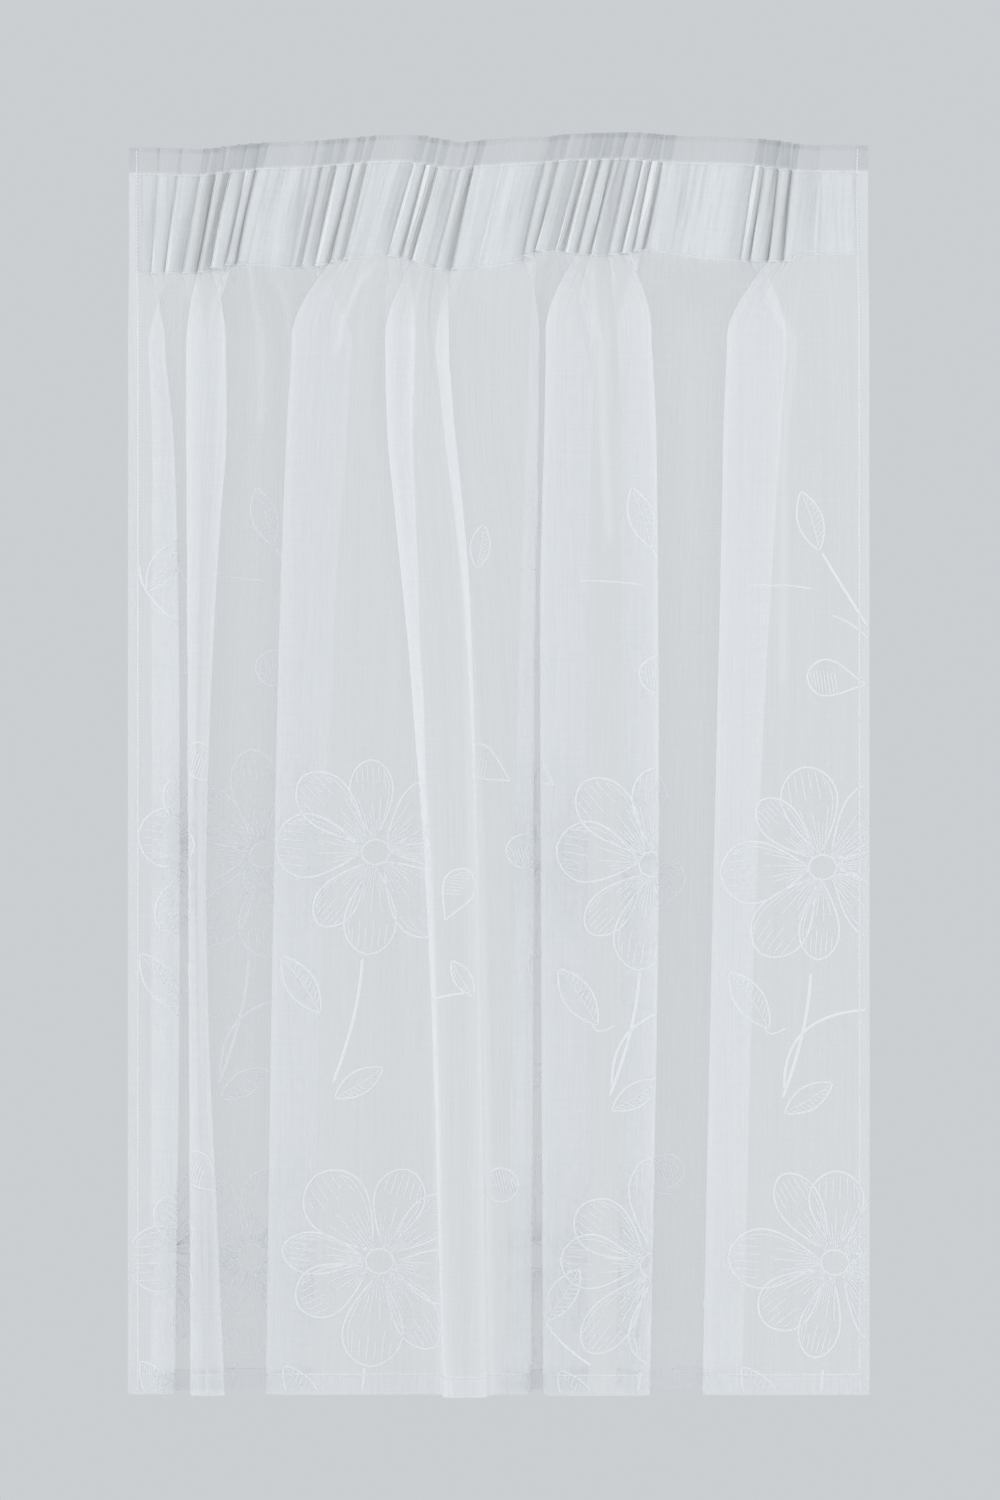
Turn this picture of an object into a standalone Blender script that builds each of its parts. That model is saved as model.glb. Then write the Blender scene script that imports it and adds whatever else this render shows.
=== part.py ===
"""Sheer voile curtain, hung by a gathered heading tape that is sewn behind its top edge.

Metres, +Z up. The origin is the middle of the top edge, and the front faces -Y. The voile is one
sheet whose level sections run back and forth as wide folds; above them the tape draws the same
width of cloth into bunches of narrow pleats that lean to the right. Every section is as long as
the cloth's flat width. Tables are in millimetres, x from the curtain's middle line, and "drop"
is the distance below the top edge.
"""

from collections import namedtuple

import bmesh
import bpy
import numpy as np

MM = 0.001

HUNG_WIDTH = 740.0
HALF_WIDTH = HUNG_WIDTH / 2
DROP = 1250.0
FLAT_WIDTH = 1640.0
CLOTH_THICK = 1.15
TAPE_THICK = 1.15
SEWING_GAP = 0.4
TAPE_TOP = 26.0
TAPE_FOOT = 120.0
SHOULDER = 230.0
TAPE_END_INSET = 8.0
FRILL_LEAN = 6.0

# Folds turn on this radius, or less where a panel is narrow or its neighbour near.
TURN_RADIUS = 9.0
TURN_PER_WIDTH = 0.33
TURN_PER_DEPTH = 0.38
DEPTH_SCALES = (0.3, 3.0)

# Pleats are sine waves until their walls stand at the steepest heading, in radians. Where the
# cloth is gathered more, the waves grow square, up to the sharpest.
STEEPEST = 1.62
SOFTEST = 0.01
SHARPEST = 5.0
UNEVEN = 0.2
EASE_IN_FLATS = 1.1
OPENING_PACE = 0.85
MOST_PLEAT = 1.2

# Columns of the mesh stand at each crest and this far to its sides, in radians of a pleat's phase.
CREST_PHASE = 0.67
FLAT_STEP = 18.0
MITRE_LIMIT = 0.5
CURVE_STEPS = 24
SAMPLES = 4000
BISECTIONS = 30

CLOTH_ROWS = (0.0, TAPE_TOP, TAPE_FOOT, 142.0, 162.0, 182.0, 205.0, SHOULDER, 420.0, 740.0, DROP)
TAPE_ROWS = (TAPE_TOP, TAPE_FOOT)

# A panel is a stretch of cloth that hangs about square to the front. Depth is its distance behind
# the curtain's plane and bow how far its middle stands forward. Low and high are where its middle
# is held at the tape's foot and top, with flat the half width that stays ungathered there, and
# the two sags how far that point hangs below a level line.
Panel = namedtuple("Panel", "name depth bow low high flat low_sag high_sag")
PANELS = (
    Panel("left_edge", -12, 1, -358, -358, 11, 5, 4),
    Panel("left_well", 10, 0, -321, -304, 2, 4, 6),
    Panel("slim_front", -22, 2, -289, -269, 3, 3, 2),
    Panel("left_gap", 24, -2, -230, -210, 17, 0, -2),
    Panel("wide_front", -14, 3, -131, -106, 18, -6, -9),
    Panel("crest", -34, 3, -72, -46, 3, 4, -1),
    Panel("middle_front", -14, 2, -8, 14, 31, 1, -6),
    Panel("middle_well", 16, 0, 51, 75, 2, -12, -10),
    Panel("right_front", -20, 3, 102, 126, 4, -5, -11),
    Panel("right_gap", 22, -3, 200, 216, 39, -4, -6),
    Panel("right_edge", -16, 4, 332, 340, 38, -9, 2),
)

# A fold joins two neighbouring panels. Front says which of them covers the other, edge where the
# covering panel's fold shows at each station, and tuck how far the other runs on behind it. Where
# tuck is negative the fold has opened out. Pleats is how many the tape gathers there.
STATIONS = (200.0, 272.0, 412.0, 702.0, 1250.0)
Fold = namedtuple("Fold", "front edge tuck pleats")
FOLDS = (
    Fold("left", (-333, -327, -321, -318, -323), (18, 21, 27, 30, 26), 2),
    Fold("right", (-312, -312, -311, -309, -307), (20, 18, 11, 6, 13), 2),
    Fold("left", (-272, -271, -280, -292, -273), (24, 24, 16, 5, 18), 3),
    Fold("right", (-207, -211, -217, -224, -233), (60, 60, 56, 50, 46), 5),
    Fold("right", (-113, -112, -99, -75, -55), (30, 28, 20, 8, 2), 3),
    Fold("left", (-49, -44, -31, -22, -12), (14, 12, 8, 0, -4), 2),
    Fold("left", (41, 40, 37, 36, 33), (9, 11, 14, 20, 26), 2),
    Fold("right", (47, 46, 42, 42, 44), (50, 49, 49, 48, 46), 4),
    Fold("left", (153, 157, 159, 160, 151), (34, 34, 36, 36, 32), 4),
    Fold("right", (228, 225, 222, 215, 203), (62, 60, 54, 46, 42), 4),
)


def along(at, stations, values):
    """The value at a drop, on a smooth curve through the values at the stations."""
    at = np.clip(at, stations[0], stations[-1])
    slopes = np.gradient(np.array(values, float), np.array(stations, float))
    k = int(np.clip(np.searchsorted(stations, at) - 1, 0, len(stations) - 2))
    span = stations[k + 1] - stations[k]
    t = (at - stations[k]) / span
    return (
        values[k] * (1 + 2 * t) * (1 - t) ** 2
        + slopes[k] * span * t * (1 - t) ** 2
        + values[k + 1] * t * t * (3 - 2 * t)
        + slopes[k + 1] * span * t * t * (t - 1)
    )


def smooth(t):
    """0 to 1 with no jump in slope at either end."""
    t = np.clip(t, 0, 1)
    return t * t * (3 - 2 * t)


def between(low, high, wanted, measure):
    """The setting from low to high at which a rising measure reaches the wanted value."""
    for _ in range(BISECTIONS):
        middle = (low + high) / 2
        if measure(middle) < wanted:
            low = middle
        else:
            high = middle
    return (low + high) / 2


def panel_ends(drop):
    """Left and right ends of every panel in the level section at a drop."""
    lefts, rights = [-HALF_WIDTH], []
    for fold in FOLDS:
        edge = along(drop, STATIONS, fold.edge)
        tuck = along(drop, STATIONS, fold.tuck)
        rights.append(edge if fold.front == "left" else edge + tuck)
        lefts.append(edge - tuck if fold.front == "left" else edge)
    rights.append(HALF_WIDTH)
    return lefts, rights


def fold_corners(drop, depth_scale):
    """Points that the section passes, and which of them are the middles of panels."""
    lefts, rights = panel_ends(drop)
    points, middles = [(lefts[0], PANELS[0].depth * depth_scale)], []
    for k, panel in enumerate(PANELS):
        depth = panel.depth * depth_scale
        width = rights[k] - lefts[k]
        middles.append(len(points))
        points.append(((lefts[k] + rights[k]) / 2, depth - panel.bow))
        if k == len(FOLDS):
            points.append((rights[k], depth))
            break
        following = PANELS[k + 1].depth * depth_scale
        onward = np.sign(following - depth)
        narrower = min(width, rights[k + 1] - lefts[k + 1])
        turn = min(TURN_RADIUS, narrower * TURN_PER_WIDTH, abs(following - depth) * TURN_PER_DEPTH)
        points.append((rights[k] - turn, depth))
        points.append((rights[k], depth + onward * turn))
        points.append((lefts[k + 1], following - onward * turn))
        points.append((lefts[k + 1] + turn, following))
    return np.array(points), middles


def rounded(points):
    """A fine curve that passes the points in turn."""
    padded = np.vstack([2 * points[0] - points[1], points, 2 * points[-1] - points[-2]])
    knots = np.concatenate([[0], np.cumsum(np.linalg.norm(np.diff(padded, axis=0), axis=1) ** 0.5)])
    curve = []
    for k in range(1, len(padded) - 2):
        p, t = padded[k - 1 : k + 3], knots[k - 1 : k + 3]
        at = np.linspace(t[1], t[2], CURVE_STEPS, endpoint=False)[:, None]
        a = [(p[i] * (t[i + 1] - at) + p[i + 1] * (at - t[i])) / (t[i + 1] - t[i]) for i in range(3)]
        b = [(a[i] * (t[i + 2] - at) + a[i + 1] * (at - t[i])) / (t[i + 2] - t[i]) for i in range(2)]
        curve.append((b[0] * (t[2] - at) + b[1] * (at - t[1])) / (t[2] - t[1]))
    return np.vstack([*curve, points[-1:]])


def lengths(curve):
    """Distance along a curve to each of its points."""
    return np.concatenate([[0], np.cumsum(np.linalg.norm(np.diff(curve, axis=0), axis=1))])


def folded_section(drop):
    """The section where the cloth falls free, deepened until it is as long as the flat width."""

    def length_at(scale):
        return lengths(rounded(fold_corners(drop, scale)[0]))[-1]

    scale = between(*DEPTH_SCALES, FLAT_WIDTH, length_at)
    points, middles = fold_corners(drop, scale)
    curve = rounded(points)
    run = lengths(curve)
    return curve, run, [run[k * CURVE_STEPS] for k in middles]


def pleat_swing(phase, tightness):
    """Heading of the cloth over pleats: shallow waves up to tightness 1, then steeper walls."""
    steepness = STEEPEST * min(tightness, 1.0)
    sharpness = SOFTEST + SHARPEST * max(tightness - 1.0, 0.0)
    return -steepness * np.tanh(sharpness * np.sin(phase)) / np.tanh(sharpness)


def reach(headings, step):
    """How far to the right a run of cloth gets with the given headings."""
    return np.cos(headings).sum() * step


class Drape:
    """Where each point of the flat cloth hangs."""

    def __init__(self):
        self.cloth = np.linspace(0, FLAT_WIDTH, SAMPLES + 1)
        self.step = FLAT_WIDTH / SAMPLES
        self.mids = (self.cloth[1:] + self.cloth[:-1]) / 2
        self.middles = folded_section(SHOULDER)[2]
        self.stretches = self.heading_stretches()
        self.columns = self.mesh_columns()
        top = self.curve(0.0)
        middle = np.abs(top[:, 0]).argmin()
        self.origin = np.array([0.0, top[middle, 1]])
        self.origin_sag = self.sag(0.0, self.cloth[middle])

    def heading_stretches(self):
        """Flat and gathered stretches of the heading: (start, end, flat panel or none, fold)."""
        starts = [s - p.flat * EASE_IN_FLATS for s, p in zip(self.middles, PANELS)]
        ends = [s + p.flat * EASE_IN_FLATS for s, p in zip(self.middles, PANELS)]
        starts[0] = 0.0
        ends[0] = 2 * PANELS[0].flat * EASE_IN_FLATS
        starts[-1] = FLAT_WIDTH - 2 * PANELS[-1].flat * EASE_IN_FLATS
        ends[-1] = FLAT_WIDTH
        stretches = []
        for k in range(len(PANELS)):
            stretches.append((starts[k], ends[k], k, None))
            if k < len(FOLDS):
                stretches.append((ends[k], starts[k + 1], None, k))
        return stretches

    def phase(self, stretch, cloth):
        """Phase of the pleats along a stretch, a whole turn for each, some wider than others."""
        start, end, _, fold = stretch
        share = (cloth - start) / (end - start)
        pleats = 1 if fold is None else FOLDS[fold].pleats
        side = 1 if fold is None or fold % 2 else -1
        return 2 * np.pi * pleats * (share + side * UNEVEN * np.sin(2 * np.pi * share) / (2 * np.pi))

    def held_ends(self, stretch, share):
        """Where the tape holds the two ends of a stretch, from its foot at 0 to its top at 1."""
        _, _, panel, fold = stretch
        left, right = (panel, panel) if fold is None else (fold, fold + 1)
        at = [p.low + (p.high - p.low) * share for p in (PANELS[left], PANELS[right])]
        side = -1 if fold is None else 1
        ends = [at[0] + side * PANELS[left].flat, at[1] - side * PANELS[right].flat]
        if stretch[0] == 0.0:
            ends[0] = -HALF_WIDTH
        if stretch[1] == FLAT_WIDTH:
            ends[1] = HALF_WIDTH
        return ends

    def gathered(self, drop):
        """Headings of the cloth where the tape gathers it."""
        share = (TAPE_FOOT - drop) / (TAPE_FOOT - TAPE_TOP)
        headings = np.zeros(SAMPLES)
        for stretch in self.stretches:
            inside = (self.mids >= stretch[0]) & (self.mids < stretch[1])
            phase = self.phase(stretch, self.mids[inside])
            left, right = self.held_ends(stretch, share)

            def narrowing(tightness, phase=phase):
                return -reach(pleat_swing(phase, tightness), self.step)

            tightness = between(0.0, 2.0, left - right, narrowing)
            headings[inside] = pleat_swing(phase, tightness)
        return headings

    def placed(self, headings, stops, targets):
        """The curve with the given headings, eased so that it meets its targets at the stops."""
        steps = np.column_stack([np.cos(headings), np.sin(headings)]) * self.step
        curve = np.vstack([[0, 0], np.cumsum(steps, axis=0)])
        misses = [target - curve[stop] for stop, target in zip(stops, targets)]
        for i in range(2):
            curve[:, i] += np.interp(np.arange(SAMPLES + 1), stops, [m[i] for m in misses])
        return curve

    def held_curve(self, drop):
        """The fine section at a drop where the tape holds the cloth."""
        share = (TAPE_FOOT - drop) / (TAPE_FOOT - TAPE_TOP)
        stops = [0, *(round(stretch[1] / self.step) for stretch in self.stretches)]
        ends = [-HALF_WIDTH, *(self.held_ends(stretch, share)[1] for stretch in self.stretches)]
        targets = np.column_stack([ends, np.zeros(len(ends))])
        return self.placed(self.gathered(drop), stops, targets)

    def free_curve(self, drop):
        """The fine section at a drop where the cloth falls free in its wide folds."""
        curve, run, _ = folded_section(drop)
        run = run * FLAT_WIDTH / run[-1]
        return np.column_stack([np.interp(self.cloth, run, curve[:, i]) for i in range(2)])

    def curve(self, drop):
        """The fine section at any drop. From the tape's foot to the shoulder, folds open as pleats fade."""
        if drop <= TAPE_FOOT:
            return self.held_curve(drop)
        free = self.free_curve(drop)
        if drop >= SHOULDER:
            return free
        opened = smooth(((drop - TAPE_FOOT) / (SHOULDER - TAPE_FOOT)) ** OPENING_PACE)
        stops = [0, *(round(s / self.step) for s in self.middles), SAMPLES]
        held = self.held_curve(TAPE_FOOT)
        targets = held[stops] + (free[stops] - held[stops]) * opened
        steps = np.diff(free, axis=0)
        folds = np.unwrap(np.arctan2(steps[:, 1], steps[:, 0]))
        headings = folds * opened
        pleats = self.gathered(TAPE_FOOT) * (1 - opened * np.abs(np.sin(folds / 2)))
        for first, last, start, end in zip(stops, stops[1:], targets, targets[1:]):
            part = slice(first, last)

            def narrowing(share, part=part):
                return -reach(headings[part] + share * pleats[part], self.step)

            share = between(0.0, MOST_PLEAT, start[0] - end[0], narrowing)
            headings[part] += share * pleats[part]
        return self.placed(headings, stops, targets)

    def mesh_columns(self):
        """Places along the cloth that the mesh's columns run down from, three to a pleat's turn."""
        columns = []
        for stretch in self.stretches:
            start, end, _, fold = stretch
            if fold is None:
                count = max(2, round((end - start) / FLAT_STEP))
                columns.extend(np.linspace(start, end, count, endpoint=False))
                continue
            cloth = self.cloth[(self.cloth >= start) & (self.cloth <= end)]
            phase = self.phase(stretch, cloth)
            crests = np.arange(2 * FOLDS[fold].pleats + 1)[:, None] * np.pi
            turns = (crests + np.array([-CREST_PHASE, 0, CREST_PHASE])).ravel()[1:-2]
            columns.extend(np.interp(turns, phase, cloth))
        return np.array([*columns, FLAT_WIDTH])

    def section(self, drop):
        """x and y of every column at a drop."""
        curve = self.curve(drop)
        section = np.column_stack([np.interp(self.columns, self.cloth, curve[:, i]) for i in range(2)])
        section[:, 1] += FRILL_LEAN * np.clip(drop / TAPE_TOP, 0, 1)
        return section - self.origin

    def sag(self, drop, cloth):
        """How far the heading hangs below a level line at places along the cloth."""
        share = np.clip((TAPE_FOOT - drop) / (TAPE_FOOT - TAPE_TOP), 0, 1)
        sags = [p.low_sag + (p.high_sag - p.low_sag) * share for p in PANELS]
        fading = 1 - smooth((drop - TAPE_FOOT) / (2 * SHOULDER))
        return np.interp(cloth, self.middles, sags) * fading

    def heights(self, drop):
        """z of every column at a drop."""
        return -drop - self.sag(drop, self.columns) + self.origin_sag


def beside(section, distance):
    """A section moved sideways, towards the back of the cloth, with its corners mitred."""
    steps = np.diff(section, axis=0)
    steps /= np.linalg.norm(steps, axis=1)[:, None]
    before = np.vstack([steps[:1], steps])
    after = np.vstack([steps, steps[-1:]])
    normals = np.column_stack([-(before + after)[:, 1], (before + after)[:, 0]])
    normals /= np.linalg.norm(normals, axis=1)[:, None]
    square = np.column_stack([-after[:, 1], after[:, 0]])
    mitre = 1 / np.maximum((normals * square).sum(axis=1), MITRE_LIMIT)
    return section + normals * (mitre * distance)[:, None]


def sheet(name, sections, heights, thickness, material):
    """A closed sheet: a grid laid on the sections, one row for each, and given its thickness."""
    rows, columns = len(sections), len(sections[0])
    bm = bmesh.new()
    bmesh.ops.create_grid(bm, x_segments=columns - 1, y_segments=rows - 1, size=1.0)
    for vert in bm.verts:
        i = round((vert.co.x + 1) / 2 * (columns - 1))
        j = round((1 - vert.co.y) / 2 * (rows - 1))
        vert.co = (sections[j][i][0] * MM, sections[j][i][1] * MM, heights[j][i] * MM)
    bmesh.ops.triangulate(bm, faces=bm.faces, quad_method="FIXED")
    bmesh.ops.reverse_faces(bm, faces=bm.faces)
    mesh = bpy.data.meshes.new(name)
    bm.to_mesh(mesh)
    bm.free()
    mesh.materials.append(material)
    mesh.shade_smooth()
    obj = bpy.data.objects.new(name, mesh)
    bpy.context.scene.collection.objects.link(obj)
    thicken = obj.modifiers.new("Cloth thickness", "SOLIDIFY")
    thicken.thickness = thickness * MM
    thicken.offset = 0.0
    thicken.use_quality_normals = True
    return obj


def cloth_material(name, colour, roughness, alpha):
    """A plain woven finish."""
    material = bpy.data.materials.new(name)
    material.use_nodes = True
    shader = material.node_tree.nodes["Principled BSDF"]
    shader.inputs["Base Color"].default_value = (*colour, 1.0)
    shader.inputs["Roughness"].default_value = roughness
    shader.inputs["Metallic"].default_value = 0.0
    shader.inputs["Alpha"].default_value = alpha
    return material


def make_voile(drape):
    """The sheer cloth, from the frill above the tape down to the hem."""
    sections = [drape.section(drop) for drop in CLOTH_ROWS]
    heights = [drape.heights(drop) for drop in CLOTH_ROWS]
    material = cloth_material("voile", (0.80, 0.82, 0.84), 0.85, 0.5)
    return sheet("voile", sections, heights, CLOTH_THICK, material)


def make_tape(drape):
    """The heading tape, sewn behind the cloth and gathered with it."""
    kept = (drape.columns > TAPE_END_INSET) & (drape.columns < FLAT_WIDTH - TAPE_END_INSET)
    behind = (CLOTH_THICK + TAPE_THICK) / 2 + SEWING_GAP
    sections = [beside(drape.section(drop), behind)[kept] for drop in TAPE_ROWS]
    heights = [drape.heights(drop)[kept] for drop in TAPE_ROWS]
    material = cloth_material("heading_tape", (0.84, 0.84, 0.82), 0.8, 1.0)
    return sheet("heading_tape", sections, heights, TAPE_THICK, material)


def main():
    """Clears the scene and makes the curtain."""
    for obj in list(bpy.data.objects):
        bpy.data.objects.remove(obj)
    curtain = bpy.data.objects.new("curtain", None)
    bpy.context.scene.collection.objects.link(curtain)
    drape = Drape()
    for piece in (make_voile(drape), make_tape(drape)):
        piece.parent = curtain


main()
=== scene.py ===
"""Sheer embroidered voile curtain, hung in uneven folds from a gathered heading tape.

Each point of the flat cloth has a place along its width and a drop below its top edge, both in
millimetres, and the drape says where that point hangs. The cloth, its hems, the tape, the sewing
and the embroidery are all laid on the one drape, so that they follow the same folds.
"""

import logging
from dataclasses import dataclass, field
from enum import Enum
from typing import Callable, Optional, Sequence, Union

import bmesh
import bpy
import numpy as np
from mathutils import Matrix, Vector


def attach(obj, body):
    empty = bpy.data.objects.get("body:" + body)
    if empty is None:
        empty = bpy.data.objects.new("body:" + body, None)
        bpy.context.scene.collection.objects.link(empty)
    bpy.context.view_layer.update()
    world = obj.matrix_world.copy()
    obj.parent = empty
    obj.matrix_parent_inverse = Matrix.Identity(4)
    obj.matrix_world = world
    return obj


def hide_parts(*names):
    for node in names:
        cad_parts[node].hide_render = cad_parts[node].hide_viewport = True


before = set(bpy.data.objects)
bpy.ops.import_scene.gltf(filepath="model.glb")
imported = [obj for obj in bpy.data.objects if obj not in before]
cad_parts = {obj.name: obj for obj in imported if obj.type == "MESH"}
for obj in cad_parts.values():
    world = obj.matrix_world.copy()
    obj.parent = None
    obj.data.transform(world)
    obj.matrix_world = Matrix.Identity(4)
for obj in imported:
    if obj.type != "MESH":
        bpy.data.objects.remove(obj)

MM = 0.001
FLAT_MAP = "flat_cloth"
CLOSENESS = "closeness"
FULL_TURN = 2 * np.pi
MIX_FACTOR, MIX_LOW, MIX_HIGH, MIX_RESULT = 0, 6, 7, 2

Numbers = Union[float, np.ndarray]
Colour = tuple[float, float, float]

log = logging.getLogger("curtain")


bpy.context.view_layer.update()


@dataclass(frozen=True)
class Panel:
    """A stretch of cloth that hangs about square to the front.

    Depth is its distance behind the curtain's plane, and bow how far its middle stands forward.
    Low and high are where its middle is held at the tape's foot and top, flat the half width
    that stays ungathered there, and sag how far its top edge hangs below a level line.
    """

    name: str
    depth: float
    bow: float
    low: float
    high: float
    flat: float
    sag: float


@dataclass(frozen=True)
class Fold:
    """What joins two neighbouring panels.

    Front says which of them covers the other, edge where the covering panel's fold shows at each
    station, and tuck how far the other runs on behind it. Pleats is how many the tape gathers.
    """

    front: str
    edge: tuple[float, ...]
    tuck: tuple[float, ...]
    pleats: int


PANELS = (
    Panel("left_edge", -12, 1, -358, -358, 11, 4),
    Panel("left_well", 10, 0, -321, -304, 2, 6),
    Panel("slim_front", -22, 2, -289, -269, 3, 2),
    Panel("left_gap", 24, -2, -230, -210, 17, -2),
    Panel("wide_front", -14, 3, -131, -106, 18, -9),
    Panel("crest", -34, 3, -72, -46, 3, -1),
    Panel("middle_front", -14, 2, -8, 14, 31, -6),
    Panel("middle_well", 16, 0, 51, 75, 2, -10),
    Panel("right_front", -20, 3, 102, 126, 4, -11),
    Panel("right_gap", 22, -3, 200, 216, 39, -6),
    Panel("right_edge", -16, 4, 332, 340, 38, 2),
)
FOOT_WAVE = (
    (-370, 11), (-300, 10), (-270, 2), (-235, 2), (-215, 6), (-190, 4), (-150, -5), (-120, -7),
    (-100, -6), (-82, -1), (-60, 7), (-10, 5), (15, -1), (40, -13), (60, -11), (100, -7),
    (128, -10), (148, -14), (175, -9), (205, -4), (245, -1), (290, -2), (320, -8), (370, -9),
)
FOOT_PLACES, FOOT_SAGS = zip(*FOOT_WAVE)
STATIONS = (200.0, 272.0, 412.0, 702.0, 1250.0)
FOLDS = (
    Fold("left", (-333, -327, -321, -318, -323), (18, 21, 27, 30, 26), 2),
    Fold("right", (-312, -312, -311, -309, -307), (20, 18, 11, 6, 13), 2),
    Fold("left", (-272, -271, -280, -292, -273), (24, 24, 16, 5, 18), 3),
    Fold("right", (-207, -211, -217, -224, -233), (60, 60, 56, 50, 46), 5),
    Fold("right", (-113, -112, -99, -75, -55), (30, 28, 20, 8, 2), 3),
    Fold("left", (-49, -44, -31, -22, -12), (14, 12, 8, 0, -4), 2),
    Fold("left", (41, 40, 37, 36, 33), (9, 11, 14, 20, 26), 2),
    Fold("right", (47, 46, 42, 42, 44), (50, 49, 49, 48, 46), 4),
    Fold("left", (153, 157, 159, 160, 151), (34, 34, 36, 36, 32), 4),
    Fold("right", (228, 225, 222, 215, 203), (62, 60, 54, 46, 42), 4),
)


@dataclass(frozen=True)
class Crease:
    """A soft trough or ridge in the hung cloth.

    Places are the places on the flat cloth, as (width, drop), that it runs through from the top
    down, spread is its half width, rise how far it stands out, less than nothing for a trough,
    and close how much closer its threads lie, up to 1, or less than nothing for more open cloth;
    close also raises or lowers the painted highlight in the cloth's colour.
    """

    places: tuple[tuple[float, float], ...]
    spread: float
    rise: float
    close: float


CREASES = (
    Crease(((332, 112), (345, 186), (352, 300)), 4.5, 2.0, 0.5),
    Crease(((364, 112), (375, 166), (381, 310)), 4.5, 2.0, 0.5),
    Crease(((348, 112), (360, 170), (366, 240)), 5, -1.6, -0.3),
    Crease(((592, 112), (574, 181), (566, 230)), 4, 1.8, 0.5),
    Crease(((600, 112), (610, 180), (622, 330)), 9, -1.6, -0.2),
    Crease(((726, 112), (734, 195), (738, 250)), 4, -2.5, -0.4),
    Crease(((712, 112), (716, 195), (720, 300)), 4, 1.6, 0.4),
    Crease(((956, 105), (931, 194), (925, 260)), 7, -2.0, -0.5),
    Crease(((1079, 112), (1108, 211), (1116, 260)), 5, -2.2, -0.4),
    Crease(((1098, 112), (1121, 211), (1130, 420)), 5, 1.8, 0.4),
    Crease(((1124, 112), (1132, 190), (1140, 300)), 5, -1.8, -0.3),
    Crease(((1512, 96), (1533, 150), (1564, 206), (1554, 310), (1553, 560)), 5, 2.0, 0.35),
    Crease(((1590, 140), (1596, 400), (1590, 800)), 12, -2.0, -0.1),
    Crease(((50, 150), (46, 400), (40, 800)), 7, 1.6, 0.2),
    Crease(((655, 240), (668, 480), (672, 760)), 9, 1.8, 0.15),
    Crease(((880, 240), (874, 560), (880, 1100)), 8, 1.8, 0.2),
    Crease(((1344, 200), (1352, 500), (1350, 900)), 10, -1.6, -0.1),
)
CREASE_ENDS = 30.0
LEAST_LENGTH = 1e-9


def along(at: float, stations: Sequence[float], values: Sequence[float]) -> float:
    """A value on a smooth curve through the values at the stations.

    Args:
        at: The drop that is asked for.
        stations: The drops at which the values hold.
        values: One value for each station.

    Returns:
        The value at that drop.
    """
    at = float(np.clip(at, stations[0], stations[-1]))
    slopes = np.gradient(np.array(values, float), np.array(stations, float))
    k = int(np.clip(np.searchsorted(stations, at) - 1, 0, len(stations) - 2))
    span = stations[k + 1] - stations[k]
    t = (at - stations[k]) / span
    return joined(t, span, (values[k], values[k + 1]), (slopes[k], slopes[k + 1]))


def joined(t: Numbers, span: Numbers, ends: tuple, slopes: tuple) -> Numbers:
    """A smooth curve between two values with the given slopes there.

    Args:
        t: The share of the way from the first to the second.
        span: The distance between them.
        ends: The two values.
        slopes: The slope at each.

    Returns:
        The value at that share.
    """
    return (
        ends[0] * (1 + 2 * t) * (1 - t) ** 2
        + slopes[0] * span * t * (1 - t) ** 2
        + ends[1] * t * t * (3 - 2 * t)
        + slopes[1] * span * t * t * (t - 1)
    )


def smooth(t: Numbers) -> Numbers:
    """0 to 1 with no jump in slope at either end."""
    t = np.clip(t, 0, 1)
    return t * t * (3 - 2 * t)


def between(low: float, high: float, wanted: float, measure: Callable[[float], float]) -> float:
    """Finds the setting at which a rising measure reaches a wanted value.

    Args:
        low: The least setting.
        high: The greatest setting.
        wanted: The value that the measure has to reach.
        measure: Gives a value for a setting, and rises with it.

    Returns:
        The setting.
    """
    for _ in range(Drape.bisections):
        middle = (low + high) / 2
        if measure(middle) < wanted:
            low = middle
        else:
            high = middle
    return (low + high) / 2


def lengths(curve: np.ndarray) -> np.ndarray:
    """Distance along a curve to each of its points."""
    return np.concatenate([[0], np.cumsum(np.linalg.norm(np.diff(curve, axis=0), axis=1))])


def unit(vectors: np.ndarray) -> np.ndarray:
    """Vectors brought to a length of one."""
    return vectors / np.maximum(np.linalg.norm(vectors, axis=-1, keepdims=True), LEAST_LENGTH)


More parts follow.
